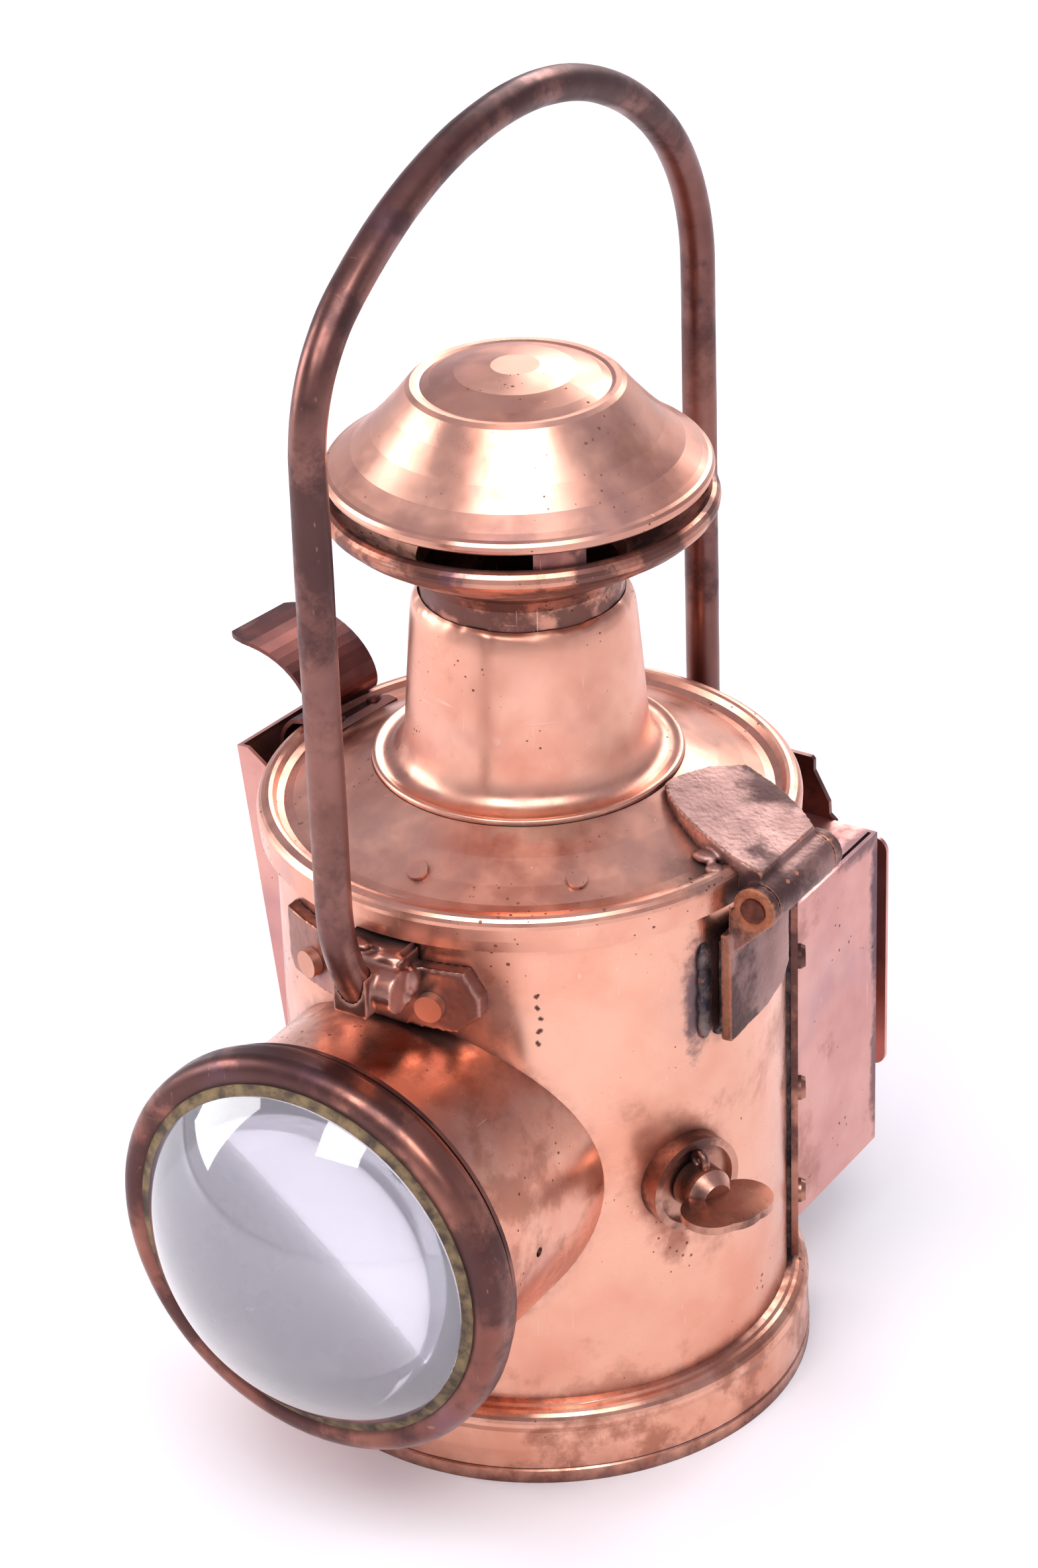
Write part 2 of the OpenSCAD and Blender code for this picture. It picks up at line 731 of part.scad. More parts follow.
body_tube();
rim_bead();
base_skirt();
base_floor();
lens_tube();
lens_step_ring();
lens_bezel();
lens_putty();
bullseye_lens();
front_bracket();
front_bracket_rivets();
handle();
handle_feet();
rear_bracket();
rear_bracket_rivets();
rear_upstand();
rear_case();
case_top_plate();
case_flanges();
case_packing();
case_rivets();
socket_plate();
socket_spacers();
socket_rivets();
side_pocket();
hinge_packing();
body_hinge_leaf();
hinge_pin();
key_boss();
fount();
fount_collar();
burner();
wick_tube();
reflector();
lid();
lid_rivets();
chimney();
cap_dish();
cap_spacers();
cap_top();
draught_tube();
lid_hinge_leaf();
catch_foot();
catch_rivets();
catch_spring();
key_spindle();
key_sleeve();
thumb_key();
key_loop();
wick();
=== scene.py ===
import json
import math
import bpy
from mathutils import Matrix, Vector


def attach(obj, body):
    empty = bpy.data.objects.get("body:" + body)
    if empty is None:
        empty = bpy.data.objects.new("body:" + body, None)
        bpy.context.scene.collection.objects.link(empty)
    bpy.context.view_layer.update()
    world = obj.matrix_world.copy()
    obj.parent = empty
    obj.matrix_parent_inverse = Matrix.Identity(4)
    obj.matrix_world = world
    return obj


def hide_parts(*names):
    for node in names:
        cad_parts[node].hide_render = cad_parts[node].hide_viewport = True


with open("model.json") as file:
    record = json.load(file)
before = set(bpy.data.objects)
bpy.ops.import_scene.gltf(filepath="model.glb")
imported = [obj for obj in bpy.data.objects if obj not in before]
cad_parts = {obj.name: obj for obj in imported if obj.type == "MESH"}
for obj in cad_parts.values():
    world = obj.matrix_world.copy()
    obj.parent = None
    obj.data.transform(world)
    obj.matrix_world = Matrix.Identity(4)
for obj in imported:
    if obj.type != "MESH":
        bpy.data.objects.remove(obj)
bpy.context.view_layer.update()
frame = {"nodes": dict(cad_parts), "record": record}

mm = 0.001
nodes = frame["nodes"]
slotOfNode = {part["node"]: part["material_slot"] for part in frame["record"]["subparts"]}

finish = {
    "smoothAngle": 40,      # degrees: sharper edges stay crisp
    "cloudDepth": 2,        # octaves of the hand-work relief
    "dropFaces": 3,         # subdivisions of a solder drop
    "castWeld": 0.005,      # mm
    "castSoften": 0.5,
}

studio = {
    "camPlace": (548.0, -854.9, 735.0),      # mm
    "camTurn": (60.775, 1.769, 31.819),      # degrees
    "camLens": 105.19,                       # mm on a 36 mm long side
    "floorSize": 6.0,                        # m
    "floorTone": "#F4F3F5",
    "paperWhite": 1.0,                       # what the lens sees past the floor
    "roomSteps": ((0.0, "#F8F7FF"), (0.16, "#E4E1F0"), (0.42, "#A8A2B2"), (1.0, "#D2CEE2")),
    "roomPower": 0.8,
    "boxes": {                               # soft boxes: place mm, size mm, power W
        "keyBoxLeft": ((60, -1000, 1480), (620, 800), 12.5),
        "keyBoxRight": ((720, -640, 1480), (620, 800), 11),
        "leftBox": ((-1500, -500, 700), (700, 1000), 13),
        "rimBox": ((-300, 1500, 1100), (1100, 700), 14),
    },
}


def hexTone(code):
    channels = [int(code[i:i + 2], 16) / 255 for i in (1, 3, 5)]
    line = [c / 12.92 if c <= 0.04045 else ((c + 0.055) / 1.055) ** 2.4 for c in channels]
    return (*line, 1.0)


def clearPick():
    if bpy.context.mode != "OBJECT":
        bpy.ops.object.mode_set(mode="OBJECT")
    bpy.ops.object.select_all(action="DESELECT")


def buildCamera(s):
    camData = bpy.data.cameras.new("lampCamera")
    camData.sensor_fit = "AUTO"
    camData.sensor_width = 36
    camData.lens = s["camLens"]
    camData.clip_end = 20
    cam = bpy.data.objects.new("lampCamera", camData)
    bpy.context.collection.objects.link(cam)
    cam.location = [v * mm for v in s["camPlace"]]
    cam.rotation_euler = [math.radians(v) for v in s["camTurn"]]
    bpy.context.scene.camera = cam


def buildLights(s):
    for name, (place, size, power) in s["boxes"].items():
        lightData = bpy.data.lights.new(name, "AREA")
        lightData.shape = "RECTANGLE"
        lightData.size, lightData.size_y = [v * mm for v in size]
        lightData.energy = power
        light = bpy.data.objects.new(name, lightData)
        bpy.context.collection.objects.link(light)
        light.location = [v * mm for v in place]
        aim = Vector((0, 0, 0.15)) - light.location
        light.rotation_euler = aim.to_track_quat("-Z", "Y").to_euler()


def buildSky(s):
    world = bpy.data.worlds.new("studioSky")
    bpy.context.scene.world = world
    world.use_nodes = True
    tree = world.node_tree
    back = tree.nodes["Background"]
    back.inputs["Strength"].default_value = s["roomPower"]
    height = add(tree, "SeparateXYZ", {0: add(tree, "TexCoord").outputs["Generated"]}).outputs["Z"]
    ramp = add(tree, "ValToRGB", {"Fac": height})
    steps = ramp.color_ramp.elements
    for number, (place, tone) in enumerate(s["roomSteps"]):
        step = steps[number] if number < 2 else steps.new(place)
        step.position = place
        step.color = hexTone(tone)
    tree.links.new(ramp.outputs["Color"], back.inputs["Color"])
    paper = add(tree, "Background", {"Color": (1, 1, 1, 1), "Strength": s["paperWhite"]})
    seen = add(tree, "MixShader", {0: add(tree, "LightPath").outputs["Is Camera Ray"], 1: back.outputs[0],
                                   2: paper.outputs[0]})
    tree.links.new(seen.outputs[0], tree.nodes["World Output"].inputs["Surface"])


def buildFloor(s):
    clearPick()
    bpy.ops.mesh.primitive_plane_add(size=s["floorSize"])
    floor = bpy.context.object
    floor.name = "studioFloor"
    floor.data.materials.append(plainPaper(s["floorTone"]))


def add(tree, kind, inputs=None, **settings):
    # one node with its settings; an input is a link, a number or a hex tone
    made = tree.nodes.new("ShaderNode" + kind)
    for key, value in settings.items():
        setattr(made, key, value)
    for key, value in (inputs or {}).items():
        if isinstance(value, bpy.types.NodeSocket):
            tree.links.new(value, made.inputs[key])
        else:
            made.inputs[key].default_value = hexTone(value) if isinstance(value, str) else value
    return made


def newMaterial(name):
    mat = bpy.data.materials.new(name)
    mat.use_nodes = True
    tree = mat.node_tree
    return mat, tree, tree.nodes["Principled BSDF"]


def plainPaper(tone):
    mat, tree, shader = newMaterial("backgroundPaper")
    shader.inputs["Base Color"].default_value = hexTone(tone)
    shader.inputs["Roughness"].default_value = 0.9
    shader.inputs["Specular IOR Level"].default_value = 0.2
    return mat


def patchAt(tree, place, centre, reach, ragged, seed):
    # a ragged patch round a point: 1 inside, 0 past its reach (mm)
    away = add(tree, "VectorMath", {0: place, 1: [v * mm for v in centre]}, operation="SUBTRACT").outputs[0]
    scaled = add(tree, "VectorMath", {0: away, 1: [1 / (v * mm) for v in reach]}, operation="MULTIPLY").outputs[0]
    length = add(tree, "VectorMath", {0: scaled}, operation="LENGTH").outputs["Value"]
    wobble = add(tree, "Math", {
        0: add(tree, "TexNoise", {
            "Vector": place,
            "W": seed,
            "Scale": 1 / (ragged * mm),
            "Detail": 7,
            "Roughness": 0.65,
        }, noise_dimensions="4D").outputs["Fac"],
        1: 1.6,
    }, operation="MULTIPLY").outputs[0]
    return add(tree, "MapRange", {
        "Value": add(tree, "Math", {
            0: length,
            1: add(tree, "Math", {0: wobble, 1: 0.8}, operation="SUBTRACT").outputs[0],
        }, operation="ADD").outputs[0],
        "From Min": 0.45,
        "From Max": 1.15,
        "To Min": 1.0,
        "To Max": 0.0,
    }, interpolation_type="SMOOTHSTEP").outputs[0]


def oldMetal(name, look):
    # copper alloy that has been polished and handled: bright skin, brown film in soft patches, painted shade in the
    # corners and hollows (partly grime), small dark pits, fine scratches
    mat, tree, shader = newMaterial(name)
    place = add(tree, "TexCoord").outputs["Object"]
    skin = add(tree, "Mix", {
        "Factor": add(tree, "MapRange", {
            "Value": add(tree, "TexNoise", {
                "Vector": place,
                "W": 1.3,
                "Scale": 1 / (look["patch"] * mm),
                "Detail": 4.0,
                "Roughness": 0.55,
            }, noise_dimensions="4D").outputs["Fac"],
            "From Min": 0.35,
            "From Max": 0.65,
        }, interpolation_type="SMOOTHSTEP").outputs[0],
        6: look["bright"],
        7: look["warm"],
    }, data_type="RGBA").outputs[2]
    film = add(tree, "MapRange", {
        "Value": add(tree, "TexNoise", {
            "Vector": place,
            "W": 4.1,
            "Scale": 1 / (look["patch"] * 0.8 * mm),
            "Detail": 7,
            "Roughness": 0.62,
        }, noise_dimensions="4D").outputs["Fac"],
        "From Min": 1 - look["film"],
        "From Max": 1.12 - look["film"],
    }, interpolation_type="SMOOTHSTEP").outputs[0]
    skin = add(tree, "Mix", {
        "Factor": add(tree, "Math", {0: film, 1: look["filmDepth"]}, operation="MULTIPLY").outputs[0],
        6: skin,
        7: look["brown"],
    }, data_type="RGBA").outputs[2]
    if look.get("blue"):
        bloom = add(tree, "MapRange", {
            "Value": add(tree, "TexNoise", {
                "Vector": place,
                "W": 8.6,
                "Scale": 1 / (look["patch"] * 1.4 * mm),
                "Detail": 3,
                "Roughness": 0.55,
            }, noise_dimensions="4D").outputs["Fac"],
            "From Min": 0.55,
            "From Max": 0.75,
        }, interpolation_type="SMOOTHSTEP").outputs[0]
        skin = add(tree, "Mix", {
            "Factor": add(tree, "Math", {0: bloom, 1: look["blue"]}, operation="MULTIPLY").outputs[0],
            6: skin,
            7: "#8C6F86",
        }, data_type="RGBA").outputs[2]

    # painted shade, partly grime: the colour is darkened where ambient occlusion finds corners, creases and hollows,
    # and the same mask makes them rougher
    hollow = add(tree, "AmbientOcclusion", {"Distance": look.get("shadeAndGrimeReach", 5) * mm}, samples=4).outputs["AO"]
    rim = add(tree, "Math", {
        0: hollow,
        1: add(tree, "Math", {
            0: add(tree, "TexNoise", {
                "Vector": place,
                "W": 2.2,
                "Scale": 1 / (4 * mm),
                "Detail": 5,
                "Roughness": 0.55,
            }, noise_dimensions="4D").outputs["Fac"],
            1: 0.5,
        }, operation="MULTIPLY").outputs[0],
    }, operation="ADD").outputs[0]
    shadeAndGrime = add(tree, "Math", {
        0: add(tree, "MapRange", {
            "Value": rim,
            "From Min": 0.72,
            "From Max": 1.12,
            "To Min": 1.0,
            "To Max": 0.0,
        }, interpolation_type="SMOOTHSTEP").outputs[0],
        1: look["shadeAndGrime"],
    }, operation="MULTIPLY").outputs[0]
    skin = add(tree, "Mix", {
        "Factor": shadeAndGrime,
        6: skin,
        7: look.get("shadeAndGrimeTone", "#4A3A3C"),
    }, data_type="RGBA").outputs[2]

    # pits: sparse dark specks of pitSize, gathered where the coarse noise is high
    dots = add(tree, "TexVoronoi", {"Vector": place, "Scale": 1 / (look["pitSize"] * 4.2 * mm), "Randomness": 1.0},
               feature="F1")
    ragged = add(tree, "Math", {
        0: dots.outputs["Distance"],
        1: add(tree, "Math", {
            0: add(tree, "TexNoise", {
                "Vector": place,
                "W": 5.5,
                "Scale": 1 / (look["pitSize"] * mm),
                "Detail": 2,
                "Roughness": 0.55,
            }, noise_dimensions="4D").outputs["Fac"],
            1: 0.22,
        }, operation="MULTIPLY").outputs[0],
    }, operation="ADD").outputs[0]
    gathered = add(tree, "MapRange", {
        "Value": add(tree, "TexNoise", {
            "Vector": place,
            "W": 7.7,
            "Scale": 1 / (22 * mm),
            "Detail": 3,
            "Roughness": 0.55,
        }, noise_dimensions="4D").outputs["Fac"],
        "From Min": 0.5,
        "From Max": 0.68,
        "To Min": 0.02,
        "To Max": 0.14,
    }, interpolation_type="SMOOTHSTEP").outputs[0]
    gathered = add(tree, "Math", {0: gathered, 1: look["pits"]}, operation="MULTIPLY").outputs[0]
    pit = add(tree, "Math", {
        0: ragged,
        1: add(tree, "Math", {0: gathered, 1: 0.1}, operation="ADD").outputs[0],
    }, operation="LESS_THAN").outputs[0]
    skin = add(tree, "Mix", {
        "Factor": add(tree, "Math", {0: pit, 1: 0.75}, operation="MULTIPLY").outputs[0],
        6: skin,
        7: "#5B3A32",
    }, data_type="RGBA").outputs[2]

    # scratches: noise drawn out along one direction, kept only where it peaks
    marks = []
    for turn, squash in ((0, (1, 1, 0.03)), (1, (0.05, 0.05, 1.0)), (2, (0.04, 1, 0.25))):
        line = add(tree, "TexNoise", {
            "Vector": add(tree, "Mapping", {"Vector": place, "Scale": squash}).outputs[0],
            "W": 9.0 + turn,
            "Scale": 1 / (0.9 * mm),
            "Detail": 1,
            "Roughness": 0.55,
        }, noise_dimensions="4D").outputs["Fac"]
        marks.append(
            add(tree, "Math", {
                0: add(tree, "MapRange", {
                    "Value": line,
                    "From Min": 0.7,
                    "From Max": 0.76,
                }, interpolation_type="SMOOTHSTEP").outputs[0],
                1: add(tree, "MapRange", {
                    "Value": add(tree, "TexNoise", {
                        "Vector": place,
                        "W": 11 + turn,
                        "Scale": 1 / (16 * mm),
                        "Detail": 4.0,
                        "Roughness": 0.55,
                    }, noise_dimensions="4D").outputs["Fac"],
                    "From Min": 0.5,
                    "From Max": 0.62,
                }, interpolation_type="SMOOTHSTEP").outputs[0],
            }, operation="MULTIPLY").outputs[0],
        )
    scratch = add(tree, "Math", {
        0: add(tree, "Math", {
            0: add(tree, "Math", {0: marks[0], 1: marks[1]}, operation="MAXIMUM").outputs[0],
            1: marks[2],
        }, operation="MAXIMUM").outputs[0],
        1: look["scratch"],
    }, operation="MULTIPLY").outputs[0]
    skin = add(tree, "Mix", {
        "Factor": add(tree, "Math", {0: scratch, 1: 0.5}, operation="MULTIPLY").outputs[0],
        6: skin,
        7: look.get("scratchTone", "#F3CDBB"),
    }, data_type="RGBA").outputs[2]

    if look.get("edge"):
        sharp = add(tree, "MapRange", {
            "Value": add(tree, "NewGeometry").outputs["Pointiness"],
            "From Min": 0.52,
            "From Max": 0.58,
        }, interpolation_type="SMOOTHSTEP").outputs[0]
        skin = add(tree, "Mix", {
            "Factor": add(tree, "Math", {0: sharp, 1: 0.85}, operation="MULTIPLY").outputs[0],
            6: skin,
            7: look["edge"],
        }, data_type="RGBA").outputs[2]

    stains = None
    for number, (centre, reach, tone, depth) in enumerate(look.get("stains", ())):
        patch = patchAt(tree, place, centre, reach, max(0.8, min(reach) * 0.9), 20 + number)
        amount = add(tree, "Math", {0: patch, 1: depth}, operation="MULTIPLY").outputs[0]
        skin = add(tree, "Mix", {"Factor": amount, 6: skin, 7: tone}, data_type="RGBA").outputs[2]
        stains = amount if stains is None else add(tree, "Math", {0: stains, 1: amount}, operation="MAXIMUM").outputs[0]

    dull = add(tree, "Math", {
        0: add(tree, "MapRange", {
            "Value": add(tree, "TexNoise", {
                "Vector": place,
                "W": 3.3,
                "Scale": 1 / (9 * mm),
                "Detail": 6,
                "Roughness": 0.55,
            }, noise_dimensions="4D").outputs["Fac"],
            "From Min": 0.3,
            "From Max": 0.8,
        }, interpolation_type="SMOOTHSTEP").outputs[0],
        1: look["dullness"],
    }, operation="MULTIPLY").outputs[0]
    dull = add(tree, "Math", {0: dull, 1: look["rough"]}, operation="ADD").outputs[0]
    dull = add(tree, "Math", {
        0: dull,
        1: add(tree, "Math", {0: film, 1: look["filmDepth"] * 0.14}, operation="MULTIPLY").outputs[0],
    }, operation="ADD").outputs[0]
    dull = add(tree, "Math", {
        0: dull,
        1: add(tree, "Math", {0: shadeAndGrime, 1: 0.25}, operation="MULTIPLY").outputs[0],
    }, operation="ADD").outputs[0]
    dull = add(tree, "Math", {
        0: dull,
        1: add(tree, "Math", {0: pit, 1: 0.3}, operation="MULTIPLY").outputs[0],
    }, operation="ADD").outputs[0]
    if stains is not None:
        dull = add(tree, "Math", {
            0: dull,
            1: add(tree, "Math", {0: stains, 1: 0.25}, operation="MULTIPLY").outputs[0],
        }, operation="ADD").outputs[0]
    tree.links.new(dull, shader.inputs["Roughness"])
    tree.links.new(skin, shader.inputs["Base Color"])
    shader.inputs["Metallic"].default_value = 1.0

    # hand-planished unevenness, casting grain, pits and scratches as relief
    waves = add(tree, "Math", {
        0: add(tree, "TexNoise", {
            "Vector": place,
            "W": 6.1,
            "Scale": 1 / (look.get("waveSize", 26) * mm),
            "Detail": 1,
            "Roughness": 0.55,
        }, noise_dimensions="4D").outputs["Fac"],
        1: look.get("waves", 0.35) * mm,
    }, operation="MULTIPLY").outputs[0]
    relief = add(tree, "Math", {
        0: waves,
        1: add(tree, "Math", {
            0: add(tree, "TexNoise", {
                "Vector": place,
                "W": 12.0,
                "Scale": 1 / (look.get("grainSize", 0.7) * mm),
                "Detail": 3,
                "Roughness": 0.55,
            }, noise_dimensions="4D").outputs["Fac"],
            1: look.get("grain", 0.004) * mm,
        }, operation="MULTIPLY").outputs[0],
    }, operation="ADD").outputs[0]
    relief = add(tree, "Math", {
        0: relief,
        1: add(tree, "Math", {0: pit, 1: 0.05 * mm}, operation="MULTIPLY").outputs[0],
    }, operation="SUBTRACT").outputs[0]
    relief = add(tree, "Math", {
        0: relief,
        1: add(tree, "Math", {0: scratch, 1: 0.02 * mm}, operation="MULTIPLY").outputs[0],
    }, operation="SUBTRACT").outputs[0]
    bump = add(tree, "Bump", {"Height": relief, "Distance": 1.0})
    tree.links.new(bump.outputs[0], shader.inputs["Normal"])
    return mat


def castGlass(name):
    # thick pressed lens glass with a ground, slightly milky back: some of the light is scattered, so it looks
    # pale lilac instead of dark, with a painted reflection that lightens it towards the top; polished outer skin with
    # long wiping marks
    mat, tree, shader = newMaterial(name)
    place = add(tree, "TexCoord").outputs["Object"]
    shader.inputs["Transmission Weight"].default_value = 0.86
    shader.inputs["IOR"].default_value = 1.52
    # painted reflection: the milky lilac tint is painted lighter towards the top, standing in for the bright inside
    # seen through the lens
    height = add(tree, "SeparateXYZ", {0: place}).outputs["Z"]
    cloud = add(tree, "Math", {
        0: height,
        1: add(tree, "Math", {
            0: add(tree, "TexNoise", {
                "Vector": place,
                "W": 4,
                "Scale": 1 / (30 * mm),
                "Detail": 3,
                "Roughness": 0.55,
            }, noise_dimensions="4D").outputs["Fac"],
            1: 30 * mm,
        }, operation="MULTIPLY").outputs[0],
    }, operation="ADD").outputs[0]
    milkAndPaintedTopLight = add(tree, "Mix", {
        "Factor": add(tree, "MapRange", {
            "Value": cloud,
            "From Min": 42 * mm,
            "From Max": 110 * mm,
        }, interpolation_type="SMOOTHSTEP").outputs[0],
        6: "#CDBFC9",
        7: "#F3F1FA",
    }, data_type="RGBA").outputs[2]
    tree.links.new(milkAndPaintedTopLight, shader.inputs["Base Color"])
    marks = add(tree, "MapRange", {
        "Value": add(tree, "TexNoise", {
            "Vector": add(tree, "Mapping", {"Vector": place, "Scale": (1, 1, 0.05)}).outputs[0],
            "W": 2,
            "Scale": 1 / (0.8 * mm),
            "Detail": 1,
            "Roughness": 0.55,
        }, noise_dimensions="4D").outputs["Fac"],
        "From Min": 0.72,
        "From Max": 0.8,
        "To Min": 0.05,
        "To Max": 0.14,
    }, interpolation_type="SMOOTHSTEP").outputs[0]
    tree.links.new(marks, shader.inputs["Roughness"])
    shader.inputs["Coat Weight"].default_value = 1.0
    shader.inputs["Coat Roughness"].default_value = 0.02
    return mat


def dryPutty(name):
    # linseed glazing putty: yellowed, chalky, cracked and dirty
    mat, tree, shader = newMaterial(name)
    place = add(tree, "TexCoord").outputs["Object"]
    tone = add(tree, "Mix", {
        "Factor": add(tree, "MapRange", {
            "Value": add(tree, "TexNoise", {
                "Vector": place,
                "W": 1,
                "Scale": 1 / (5 * mm),
                "Detail": 6,
                "Roughness": 0.55,
            }, noise_dimensions="4D").outputs["Fac"],
            "From Min": 0.35,
            "From Max": 0.65,
        }, interpolation_type="SMOOTHSTEP").outputs[0],
        6: "#86704F",
        7: "#483A30",
    }, data_type="RGBA").outputs[2]
    tree.links.new(tone, shader.inputs["Base Color"])
    shader.inputs["Roughness"].default_value = 0.85
    bump = add(tree, "Bump", {
        "Height": add(tree, "Math", {
            0: add(tree, "TexNoise", {
                "Vector": place,
                "W": 3,
                "Scale": 1 / (1.6 * mm),
                "Detail": 5,
                "Roughness": 0.55,
            }, noise_dimensions="4D").outputs["Fac"],
            1: 0.6 * mm,
        }, operation="MULTIPLY").outputs[0],
        "Distance": 1.0,
    })
    tree.links.new(bump.outputs[0], shader.inputs["Normal"])
    return mat


def softSolder(name):
    # lead-tin solder run on by hand: lumpy, grey to blue-black, with warm brown spots
    mat, tree, shader = newMaterial(name)
    place = add(tree, "TexCoord").outputs["Object"]
    tone = add(tree, "Mix", {
        "Factor": add(tree, "MapRange", {
            "Value": add(tree, "TexNoise", {
                "Vector": place,
                "W": 1,
                "Scale": 1 / (6 * mm),
                "Detail": 5,
                "Roughness": 0.55,
            }, noise_dimensions="4D").outputs["Fac"],
            "From Min": 0.35,
            "From Max": 0.65,
        }, interpolation_type="SMOOTHSTEP").outputs[0],
        6: "#7C6A66",
        7: "#37343C",
    }, data_type="RGBA").outputs[2]
    tone = add(tree, "Mix", {
        "Factor": add(tree, "MapRange", {
            "Value": add(tree, "TexNoise", {
                "Vector": place,
                "W": 6,
                "Scale": 1 / (4 * mm),
                "Detail": 5,
                "Roughness": 0.55,
            }, noise_dimensions="4D").outputs["Fac"],
            "From Min": 0.58,
            "From Max": 0.7,
        }, interpolation_type="SMOOTHSTEP").outputs[0],
        6: tone,
        7: "#9A6A55",
    }, data_type="RGBA").outputs[2]
    tree.links.new(tone, shader.inputs["Base Color"])
    shader.inputs["Metallic"].default_value = 0.8
    tree.links.new(
        add(tree, "MapRange", {
            "Value": add(tree, "TexNoise", {
                "Vector": place,
                "W": 2,
                "Scale": 1 / (3 * mm),
                "Detail": 4.0,
                "Roughness": 0.55,
            }, noise_dimensions="4D").outputs["Fac"],
            "From Min": 0.3,
            "From Max": 0.7,
            "To Min": 0.35,
            "To Max": 0.6,
        }, interpolation_type="SMOOTHSTEP").outputs[0],
        shader.inputs["Roughness"],
    )
    bump = add(tree, "Bump", {
        "Height": add(tree, "Math", {
            0: add(tree, "TexNoise", {
                "Vector": place,
                "W": 3,
                "Scale": 1 / (2.5 * mm),
                "Detail": 4,
                "Roughness": 0.55,
            }, noise_dimensions="4D").outputs["Fac"],
            1: 0.8 * mm,
        }, operation="MULTIPLY").outputs[0],
        "Distance": 1.0,
    })
    tree.links.new(bump.outputs[0], shader.inputs["Normal"])
    return mat


def flatCotton(name):
    # woven cotton wick: cream, threads 0.8 mm apart, charred at the top
    mat, tree, shader = newMaterial(name)
    place = add(tree, "TexCoord").outputs["Object"]
    weave = add(tree, "TexWave", {"Vector": place, "Scale": 1 / (0.8 * mm) / 6.28, "Distortion": 1.0},
                bands_direction="Z").outputs["Fac"]
    height = add(tree, "SeparateXYZ", {0: place}).outputs["Z"]
    tone = add(tree, "Mix", {
        "Factor": add(tree, "MapRange", {
            "Value": weave,
            "From Min": 0.2,
            "From Max": 0.8,
        }, interpolation_type="SMOOTHSTEP").outputs[0],
        6: "#CFC3A6",
        7: "#E9E0CB",
    }, data_type="RGBA").outputs[2]
    tone = add(tree, "Mix", {
        "Factor": add(tree, "MapRange", {
            "Value": height,
            "From Min": 84 * mm,
            "From Max": 90 * mm,
        }, interpolation_type="SMOOTHSTEP").outputs[0],
        6: tone,
        7: "#1E1B1A",
    }, data_type="RGBA").outputs[2]
    tree.links.new(tone, shader.inputs["Base Color"])
    shader.inputs["Roughness"].default_value = 0.95
    return mat


def silverPlate(name):
    # silvered copper dish, rubbed bright, a little tarnish near the rim
    mat, tree, shader = newMaterial(name)
    place = add(tree, "TexCoord").outputs["Object"]
    tone = add(tree, "Mix", {
        "Factor": add(tree, "MapRange", {
            "Value": add(tree, "TexNoise", {
                "Vector": place,
                "W": 1,
                "Scale": 1 / (12 * mm),
                "Detail": 5,
                "Roughness": 0.55,
            }, noise_dimensions="4D").outputs["Fac"],
            "From Min": 0.5,
            "From Max": 0.75,
        }, interpolation_type="SMOOTHSTEP").outputs[0],
        6: "#EFEDEB",
        7: "#B9AFA8",
    }, data_type="RGBA").outputs[2]
    tree.links.new(tone, shader.inputs["Base Color"])
    shader.inputs["Metallic"].default_value = 1.0
    tree.links.new(
        add(tree, "MapRange", {
            "Value": add(tree, "TexNoise", {
                "Vector": place,
                "W": 2,
                "Scale": 1 / (5 * mm),
                "Detail": 4.0,
                "Roughness": 0.55,
            }, noise_dimensions="4D").outputs["Fac"],
            "From Min": 0.3,
            "From Max": 0.8,
            "To Min": 0.08,
            "To Max": 0.25,
        }, interpolation_type="SMOOTHSTEP").outputs[0],
        shader.inputs["Roughness"],
    )
    return mat


# in these looks, the hollow-darkening amount, tone and reach set painted shade in corners and hollows, partly grime
copperSheet = {
    "bright": "#EDB39A", "warm": "#E29C82", "brown": "#9C604C", "film": 0.45, "filmDepth": 0.5, "patch": 38,
    "blue": 0.3, "shadeAndGrime": 0.8, "shadeAndGrimeTone": "#584449", "pits": 1.5, "pitSize": 0.6, "scratch": 0.8,
    "rough": 0.2, "dullness": 0.16, "waves": 0.5, "waveSize": 30,
}
bronzeBar = {
    "bright": "#8E645B", "warm": "#75504A", "brown": "#4E3838", "film": 0.55, "filmDepth": 0.8, "patch": 30,
    "blue": 0.5, "shadeAndGrime": 0.6, "pits": 0.6, "pitSize": 0.5, "scratch": 0.5, "rough": 0.27, "dullness": 0.16,
    "waves": 0.3, "waveSize": 14, "grain": 0.006, "scratchTone": "#D9A590",
}
speckTrail = [((35.4 + 0.7 * math.sin(5.3 * step), -54.5, 145 - 1.7 * step - 0.6 * math.cos(3.1 * step)),
               [0.45 + 0.4 * abs(math.sin(1.9 * step))] * 3, "#46302F", 0.9)
              for step in range(10)]             # a run of burnt-in solder specks under the lid
